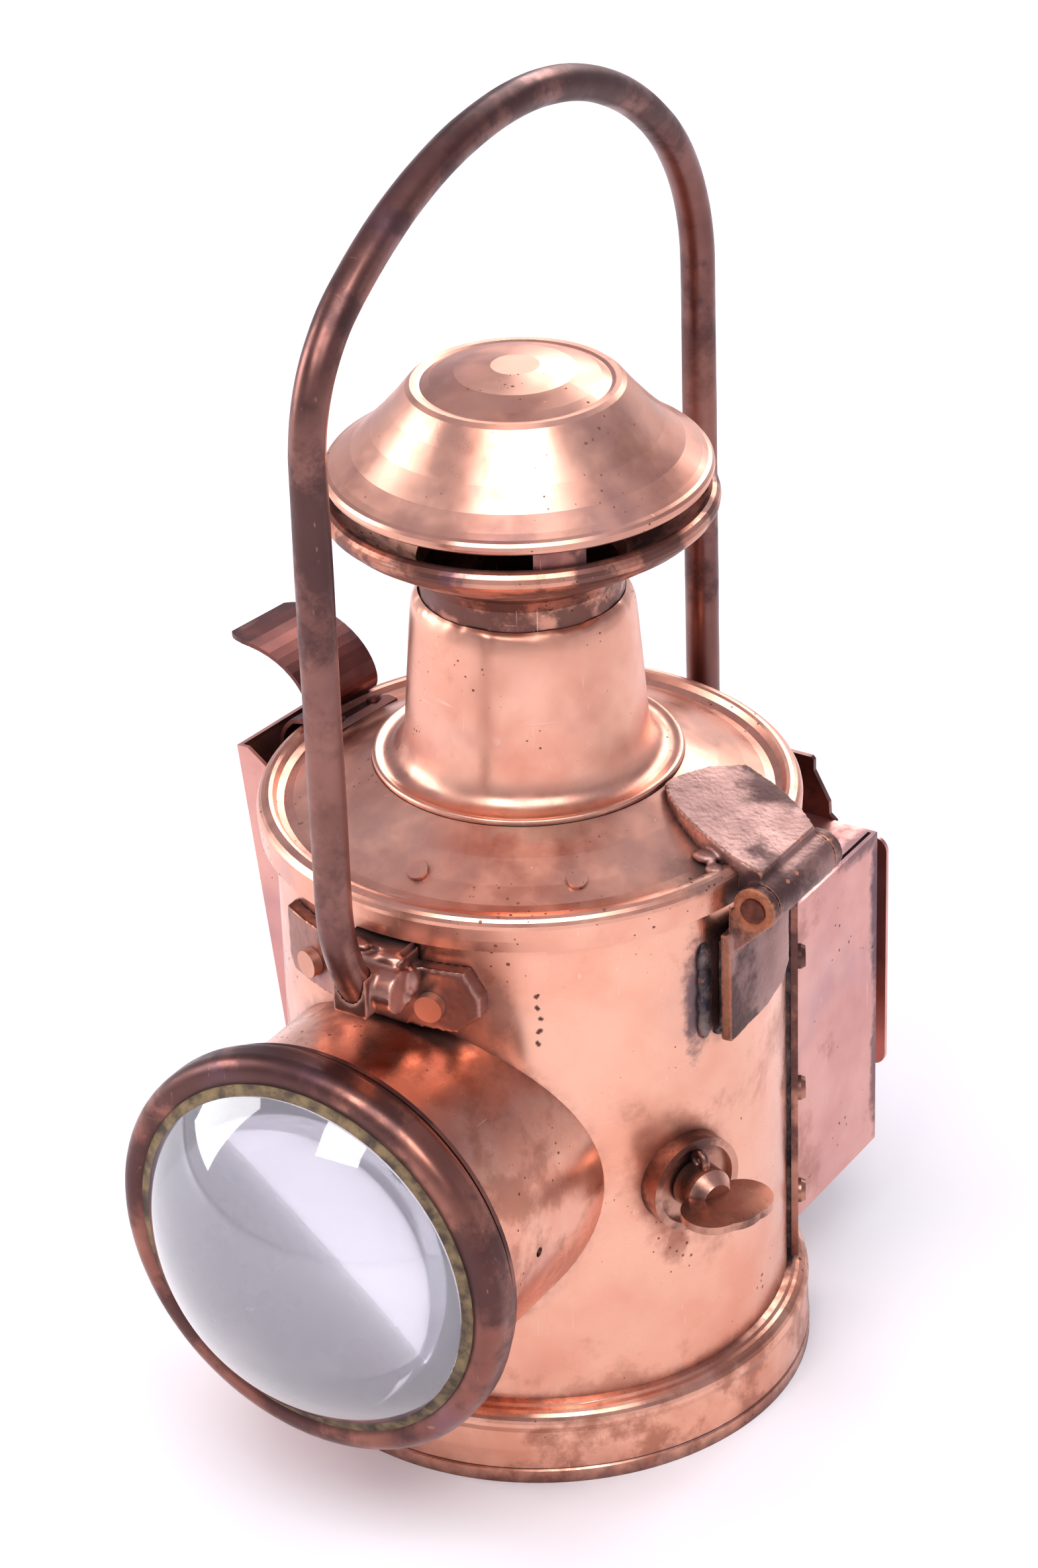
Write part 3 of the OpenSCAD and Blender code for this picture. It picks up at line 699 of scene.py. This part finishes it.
looks = {
    "body_copper": ("polishedCopperTube", {
        **copperSheet, "stains": [
            # solder flux burns beside the winder, the hinge plate and the bracket
            ((58, -29, 84), (11, 16, 19), "#A8654E", 0.75),
            ((60, -27, 82), (7, 11, 12), "#74504A", 0.4),
            ((60, -30, 64), (5, 5, 9), "#8F5646", 0.6),
            ((61, -22, 134), (4, 5, 18), "#4E4B58", 0.8),
            ((27, -59, 140), (4, 4, 11), "#6E4E4A", 0.5),
            *speckTrail,
        ]}),
    "lid_copper": ("spunCopperLid", {**copperSheet, "bright": "#EFB69E", "warm": "#E3A28A", "film": 0.42, "patch": 30,
                                     "filmDepth": 0.35, "rough": 0.26, "dullness": 0.2,
                                     "stains": [((25, -32, 178), (18, 14, 4), "#8E8072", 0.5),
                                                ((60, -20, 169), (9, 12, 5), "#6B5C58", 0.6)]}),
    "case_copper": ("sheetCopperCase", {**copperSheet, "bright": "#DDA69A", "warm": "#CB9088", "blue": 0.5,
                                        "rough": 0.3,
                                        "stains": [((57, 81, 104), (6, 4, 30), "#4F4656", 0.8),
                                                   ((57, 81, 56), (6, 3.5, 24), "#5A4B55", 0.7),
                                                   ((57, 73, 128), (6, 14, 4), "#5F4E58", 0.7),
                                                   ((20, 74, 128), (40, 10, 3), "#7A5A56", 0.6)]}),
    "bezel_bronze": ("rolledBronzeRing", {**bronzeBar, "bright": "#9E6A5C", "warm": "#7F5148", "rough": 0.24}),
    "handle_bronze": ("handledBronzeBar", {**bronzeBar, "stains": [((0, -88, 205), (9, 9, 40), "#A8776B", 0.55),
                                                                   ((0, 88, 235), (9, 9, 30), "#9C6A5C", 0.5)]}),
    "flange_bronze": ("copperStrip", {**bronzeBar, "bright": "#C08A76", "warm": "#9A6553"}),
    "hinge_bronze": ("sandCastBronze", {**bronzeBar, "bright": "#B48E85", "warm": "#94716B", "rough": 0.42,
                                        "grain": 0.14, "grainSize": 0.9, "blue": 0.6, "edge": "#DB9A78",
                                        "stains": [((75, -18, 160), (8, 2, 9), "#D58F6A", 0.85),
                                                   ((67, -18.4, 136), (4, 1.2, 22), "#C98A6C", 0.7)]}),
    "bracket": ("forgedBracket", {**bronzeBar, "bright": "#B98678", "warm": "#94685E", "film": 0.45, "shadeAndGrime": 0.9,
                                  "shadeAndGrimeTone": "#4A4747", "rough": 0.32, "edge": "#D9A08A"}),
    "key_bronze": ("turnedBronze", {**bronzeBar, "bright": "#D09A84", "warm": "#AE7C6A", "shadeAndGrime": 0.4, "rough": 0.22}),
    "catch_strip": ("springBronzeStrip", {**bronzeBar, "bright": "#8A5248", "warm": "#6A3E39", "blue": 0.5}),
    "burner_brass": ("turnedBrass", {**bronzeBar, "bright": "#C9A468", "warm": "#A98447", "brown": "#6E5433"}),
    "fount_tin": ("tinnedSheet", {**bronzeBar, "bright": "#A5A19A", "warm": "#8B877F", "brown": "#5D564E"}),
}
heatBrowned = {**copperSheet, "bright": "#D79C85", "warm": "#B97A66", "brown": "#5F403C", "film": 0.58,
               "filmDepth": 0.85, "patch": 16, "shadeAndGrime": 0.9, "rough": 0.28}
ownLooks = {                                     # nodes that aged otherwise than the rest of their sheet
    "cap_dish": ("heatBrownedDish", heatBrowned),
    "cap_spacers": ("heatBrownedClips", {**heatBrowned, "warm": "#96625A"}),
    "base_skirt": ("kickedCopperFoot", {**copperSheet, "warm": "#DB9A80", "film": 0.53, "filmDepth": 0.7, "patch": 22,
                                        "shadeAndGrime": 1.0, "shadeAndGrimeReach": 8, "pits": 1.8}),
    "lens_tube": ("brushedCopperTube", {**copperSheet, "film": 0.52, "patch": 20, "scratch": 1.0, "shadeAndGrimeReach": 7}),
}


def buildMaterials():
    made = {}
    for slot, (name, look) in {**looks, **ownLooks}.items():
        made[slot] = oldMetal(name, look)
    made["lens_glass"] = castGlass("pressedLensGlass")
    made["lens_putty"] = dryPutty("glazingPutty")
    made["solder"] = softSolder("softSolder")
    made["wick_cotton"] = flatCotton("wovenWick")
    made["silvered"] = silverPlate("silverPlate")
    return made


def settle(piece, name, slotName, body, hides=()):
    # every finished piece: place in its mesh, smooth, its metal, its body
    clearPick()
    piece.name = name
    piece.data.name = name
    piece.select_set(True)
    bpy.context.view_layer.objects.active = piece
    bpy.ops.object.transform_apply(location=True, rotation=True, scale=True)
    bpy.ops.object.shade_smooth_by_angle(angle=math.radians(finish["smoothAngle"]))
    piece.data.materials.clear()
    piece.data.materials.append(materials[slotName])
    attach(piece, body)
    if hides:
        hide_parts(*hides)


def applyAll(piece):
    clearPick()
    piece.select_set(True)
    bpy.context.view_layer.objects.active = piece
    for modifier in list(piece.modifiers):
        bpy.ops.object.modifier_apply(modifier=modifier.name)


def cloudRelief(piece, sizeMm, heightMm, group=""):
    # uneven hand work: lumps sizeMm across and heightMm high
    cloud = bpy.data.textures.new(piece.name + "Cloud", "CLOUDS")
    cloud.noise_scale = sizeMm * mm
    cloud.noise_depth = finish["cloudDepth"]
    lumps = piece.modifiers.new("lumps", "DISPLACE")
    lumps.texture = cloud
    lumps.texture_coords = "OBJECT"
    lumps.strength = heightMm * mm
    lumps.mid_level = 0.5
    lumps.vertex_group = group


def blob(centre, size):
    # one drop of solder, joined to its piece later
    bpy.ops.mesh.primitive_ico_sphere_add(subdivisions=finish["dropFaces"], radius=1,
                                          location=[v * mm for v in centre], scale=[v * mm for v in size])
    return bpy.context.object


def castPiece(name, sources, slotName, body, s):
    # sand-cast or soldered work: the frame's solids and some drops of solder run into one soft-edged skin
    clearPick()
    parts = []
    for node in sources:
        twin = bpy.data.objects.new(name, nodes[node].data.copy())
        bpy.context.collection.objects.link(twin)
        parts.append(twin)
    for centre, size in s.get("drops", ()):
        parts.append(blob(centre, size))
    clearPick()
    for part in parts:
        part.select_set(True)
    bpy.context.view_layer.objects.active = parts[0]
    if len(parts) > 1:
        bpy.ops.object.join()
    piece = parts[0]
    bpy.ops.object.transform_apply(location=True, rotation=True, scale=True)
    bpy.ops.object.mode_set(mode="EDIT")
    bpy.ops.mesh.select_all(action="SELECT")
    bpy.ops.mesh.remove_doubles(threshold=finish["castWeld"] * mm)
    bpy.ops.object.mode_set(mode="OBJECT")
    skin = piece.modifiers.new("skin", "REMESH")
    skin.mode = "VOXEL"
    skin.voxel_size = s["voxel"] * mm
    soften = piece.modifiers.new("soften", "SMOOTH")
    soften.factor = finish["castSoften"]
    soften.iterations = s["soften"]
    cloudRelief(piece, s["lumpSize"], s["lumpHeight"])
    if s.get("sandSize"):
        cloudRelief(piece, s["sandSize"], s["sandHeight"])
    applyAll(piece)
    settle(piece, name, slotName, body, sources)
    piece.data.materials[0] = materials[s.get("look", slotName)]


# Handle: 9 mm round bar, bent round formers; radii and turns of the two halves of the arch
handleBar = {
    "thick": 4.5, "legY": 88.4, "top": 350.0, "rearFoot": 126.0, "rearTight": (64.0, 45.5), "frontTight": (42.0, 54.3),
    "footBend": (52.0, 34.0), "footBendZ": 178.0, "sides": 40,
    "legSteps": 12, "tightSteps": 18, "wideSteps": 24, "footSteps": 10, "weld": 0.01,
    "waveSize": 30, "waveHeight": 0.35,
}


def bendBar(radius, turn, centreY, centreZ, steps):
    bpy.ops.mesh.spin(steps=steps, angle=math.radians(turn), center=(0, centreY * mm, centreZ * mm), axis=(-1, 0, 0))


def buildHandle(s):
    clearPick()
    legY, top = s["legY"], s["top"]

    def half(tight, turn):
        turn = math.radians(turn)
        wide = tight + (legY - tight) / math.cos(turn)
        return wide, (tight - wide) * math.sin(turn) + wide

    rearWide, rearRise = half(*s["rearTight"])
    frontWide, frontRise = half(*s["frontTight"])
    bpy.ops.mesh.primitive_circle_add(vertices=s["sides"], radius=s["thick"] * mm, fill_type="NGON",
                                      location=(0, legY * mm, s["rearFoot"] * mm))
    bar = bpy.context.object
    bpy.ops.object.transform_apply(location=True)
    bpy.ops.object.mode_set(mode="EDIT")
    bpy.ops.mesh.select_all(action="SELECT")
    legTop = top - rearRise
    for step in range(s["legSteps"]):
        bpy.ops.mesh.extrude_region_move(
            TRANSFORM_OT_translate={"value": (0, 0, (legTop - s["rearFoot"]) / s["legSteps"] * mm)})
    rearTight, rearTurn = s["rearTight"]
    frontTight, frontTurn = s["frontTight"]
    bendBar(rearTight, rearTurn, legY - rearTight, legTop, s["tightSteps"])
    bendBar(rearWide, 90 - rearTurn, 0, top - rearWide, s["wideSteps"])
    bendBar(frontWide, 90 - frontTurn, 0, top - frontWide, s["wideSteps"])
    bendBar(frontTight, frontTurn, frontTight - legY, top - frontRise, s["tightSteps"])
    for step in range(s["legSteps"]):
        bpy.ops.mesh.extrude_region_move(
            TRANSFORM_OT_translate={"value": (0, 0, (s["footBendZ"] - top + frontRise) / s["legSteps"] * mm)})
    bendRadius, bendTurn = s["footBend"]
    bendBar(bendRadius, bendTurn, bendRadius - legY, s["footBendZ"], s["footSteps"])
    bpy.ops.mesh.select_all(action="SELECT")
    bpy.ops.mesh.remove_doubles(threshold=s["weld"] * mm)
    bpy.ops.mesh.normals_make_consistent(inside=False)
    bpy.ops.object.mode_set(mode="OBJECT")
    cloudRelief(bar, s["waveSize"], s["waveHeight"])
    applyAll(bar)
    settle(bar, "handleBar", "handle_bronze", "case", ["handle"])
    print("handle bent")


# Chimney: outer outline from the flange's edge up to the crimped mouth (radius, height)
chimneyShell = {
    "outline": [(39.5, 177.45), (39.7, 178.3), (39.2, 178.95), (38.2, 178.9), (37.2, 178.5), (35.6, 178.5),
                (34.0, 179.0), (32.6, 180.3), (31.5, 182.4), (30.95, 185.2), (30.6, 189.0), (29.9, 198.0),
                (29.2, 207.0), (28.5, 216.0), (28.15, 219.6), (27.6, 221.6), (26.9, 222.9), (25.9, 223.7)],
    "sides": 160, "sheet": 1.0, "crimpFrom": 219.0, "crimpRise": 3.5, "crimpSize": 9.0, "crimpHeight": 1.5,
    "ringLevels": 1, "waveSize": 24, "waveHeight": 0.3,
}


def turned(outline, sides):
    # a ring drawn out and scaled step by step along an outline, as on a spinning lathe
    clearPick()
    radius, height = outline[0]
    bpy.ops.mesh.primitive_circle_add(vertices=sides, radius=radius * mm, location=(0, 0, height * mm))
    shell = bpy.context.object
    bpy.ops.object.transform_apply(location=True)
    bpy.ops.object.mode_set(mode="EDIT")
    bpy.ops.mesh.select_all(action="SELECT")
    for nextRadius, nextHeight in outline[1:]:
        bpy.ops.mesh.extrude_region_move(TRANSFORM_OT_translate={"value": (0, 0, (nextHeight - height) * mm)})
        grow = nextRadius / radius
        bpy.ops.transform.resize(value=(grow, grow, 1), center_override=(0, 0, 0))
        radius, height = nextRadius, nextHeight
    bpy.ops.mesh.select_all(action="SELECT")
    bpy.ops.mesh.normals_make_consistent(inside=False)
    bpy.ops.object.mode_set(mode="OBJECT")
    return shell


def buildChimney(s):
    shell = turned(s["outline"], s["sides"])
    shell.name = "chimneyShell"
    rings = shell.modifiers.new("rings", "SUBSURF")
    rings.levels = rings.render_levels = s["ringLevels"]
    applyAll(shell)
    mouth = shell.vertex_groups.new(name="mouth")
    for vertex in shell.data.vertices:
        rise = (vertex.co.z / mm - s["crimpFrom"]) / s["crimpRise"]
        if rise > 0:
            mouth.add([vertex.index], min(rise, 1.0), "ADD")
    cloudRelief(shell, s["crimpSize"], s["crimpHeight"], "mouth")
    cloudRelief(shell, s["waveSize"], s["waveHeight"])
    wall = shell.modifiers.new("wall", "SOLIDIFY")
    wall.thickness = s["sheet"] * mm
    wall.offset = -1
    applyAll(shell)
    settle(shell, "chimneyShell", "lid_copper", "lid", ["chimney"])
    print("chimney turned")


castWork = {
    "bracketForging": (["front_bracket", "handle_feet"], "handle_bronze", "case", {
        "look": "bracket",
        "voxel": 0.5, "soften": 2, "lumpSize": 6, "lumpHeight": 0.3, "sandSize": 1.6, "sandHeight": 0.12,
        "drops": [((-5, -73, 157.2), (4, 2.5, 1.4)), ((5, -73, 156.2), (4, 2.5, 1.4)),
                  ((9.5, -71.5, 150), (2.4, 2.6, 4)), ((-7, -71, 144), (2.4, 2, 2.6)),
                  ((9, -74, 146.5), (2.2, 2, 2.2))]}),
    "bodyLeafCasting": (["body_hinge_leaf"], "hinge_bronze", "case", {
        "voxel": 0.42, "soften": 2, "lumpSize": 5, "lumpHeight": 0.25, "sandSize": 0.9, "sandHeight": 0.22}),
    "lidLeafCasting": (["lid_hinge_leaf"], "hinge_bronze", "lid", {
        "voxel": 0.45, "soften": 2, "lumpSize": 6, "lumpHeight": 0.35, "sandSize": 0.9, "sandHeight": 0.2,
        "drops": [((59, -13.2, 169.2), (3.4, 2.4, 1.4)), ((63, -15.5, 167.6), (2.6, 2.2, 1.4))]}),
    "leafSolder": (["hinge_packing"], "solder", "case", {
        "voxel": 0.5, "soften": 4, "lumpSize": 5, "lumpHeight": 0.7,
        "drops": [((61.9, -19.6, z), (1.5, 2.9, 5)) for z in (144, 138, 132, 126)]
        + [((63.4, -12, 121.3), (2, 5, 1.6)), ((65, -2, 121), (1.4, 7, 1.6))]}),
}


def buildCastWork(works):
    for name, (sources, slotName, body, s) in works.items():
        castPiece(name, sources, slotName, body, s)
        print("cast:", name)


materials = buildMaterials()
print("materials made:", len(materials))

for node, obj in nodes.items():
    obj.data.materials.clear()
    obj.data.materials.append(materials[node if node in ownLooks else slotOfNode[node]])
nodes["lid_rivets"].data.materials[0] = materials["lid_copper"]
nodes["front_bracket_rivets"].data.materials[0] = materials["bracket"]
nodes["hinge_pin"].data.materials[0] = materials["flange_bronze"]
print("nodes finished:", len(nodes))

buildHandle(handleBar)
buildChimney(chimneyShell)
buildCastWork(castWork)
print("pieces built")

buildCamera(studio)
buildLights(studio)
buildSky(studio)
buildFloor(studio)
bpy.context.scene.view_settings.view_transform = "Standard"
print("studio set")
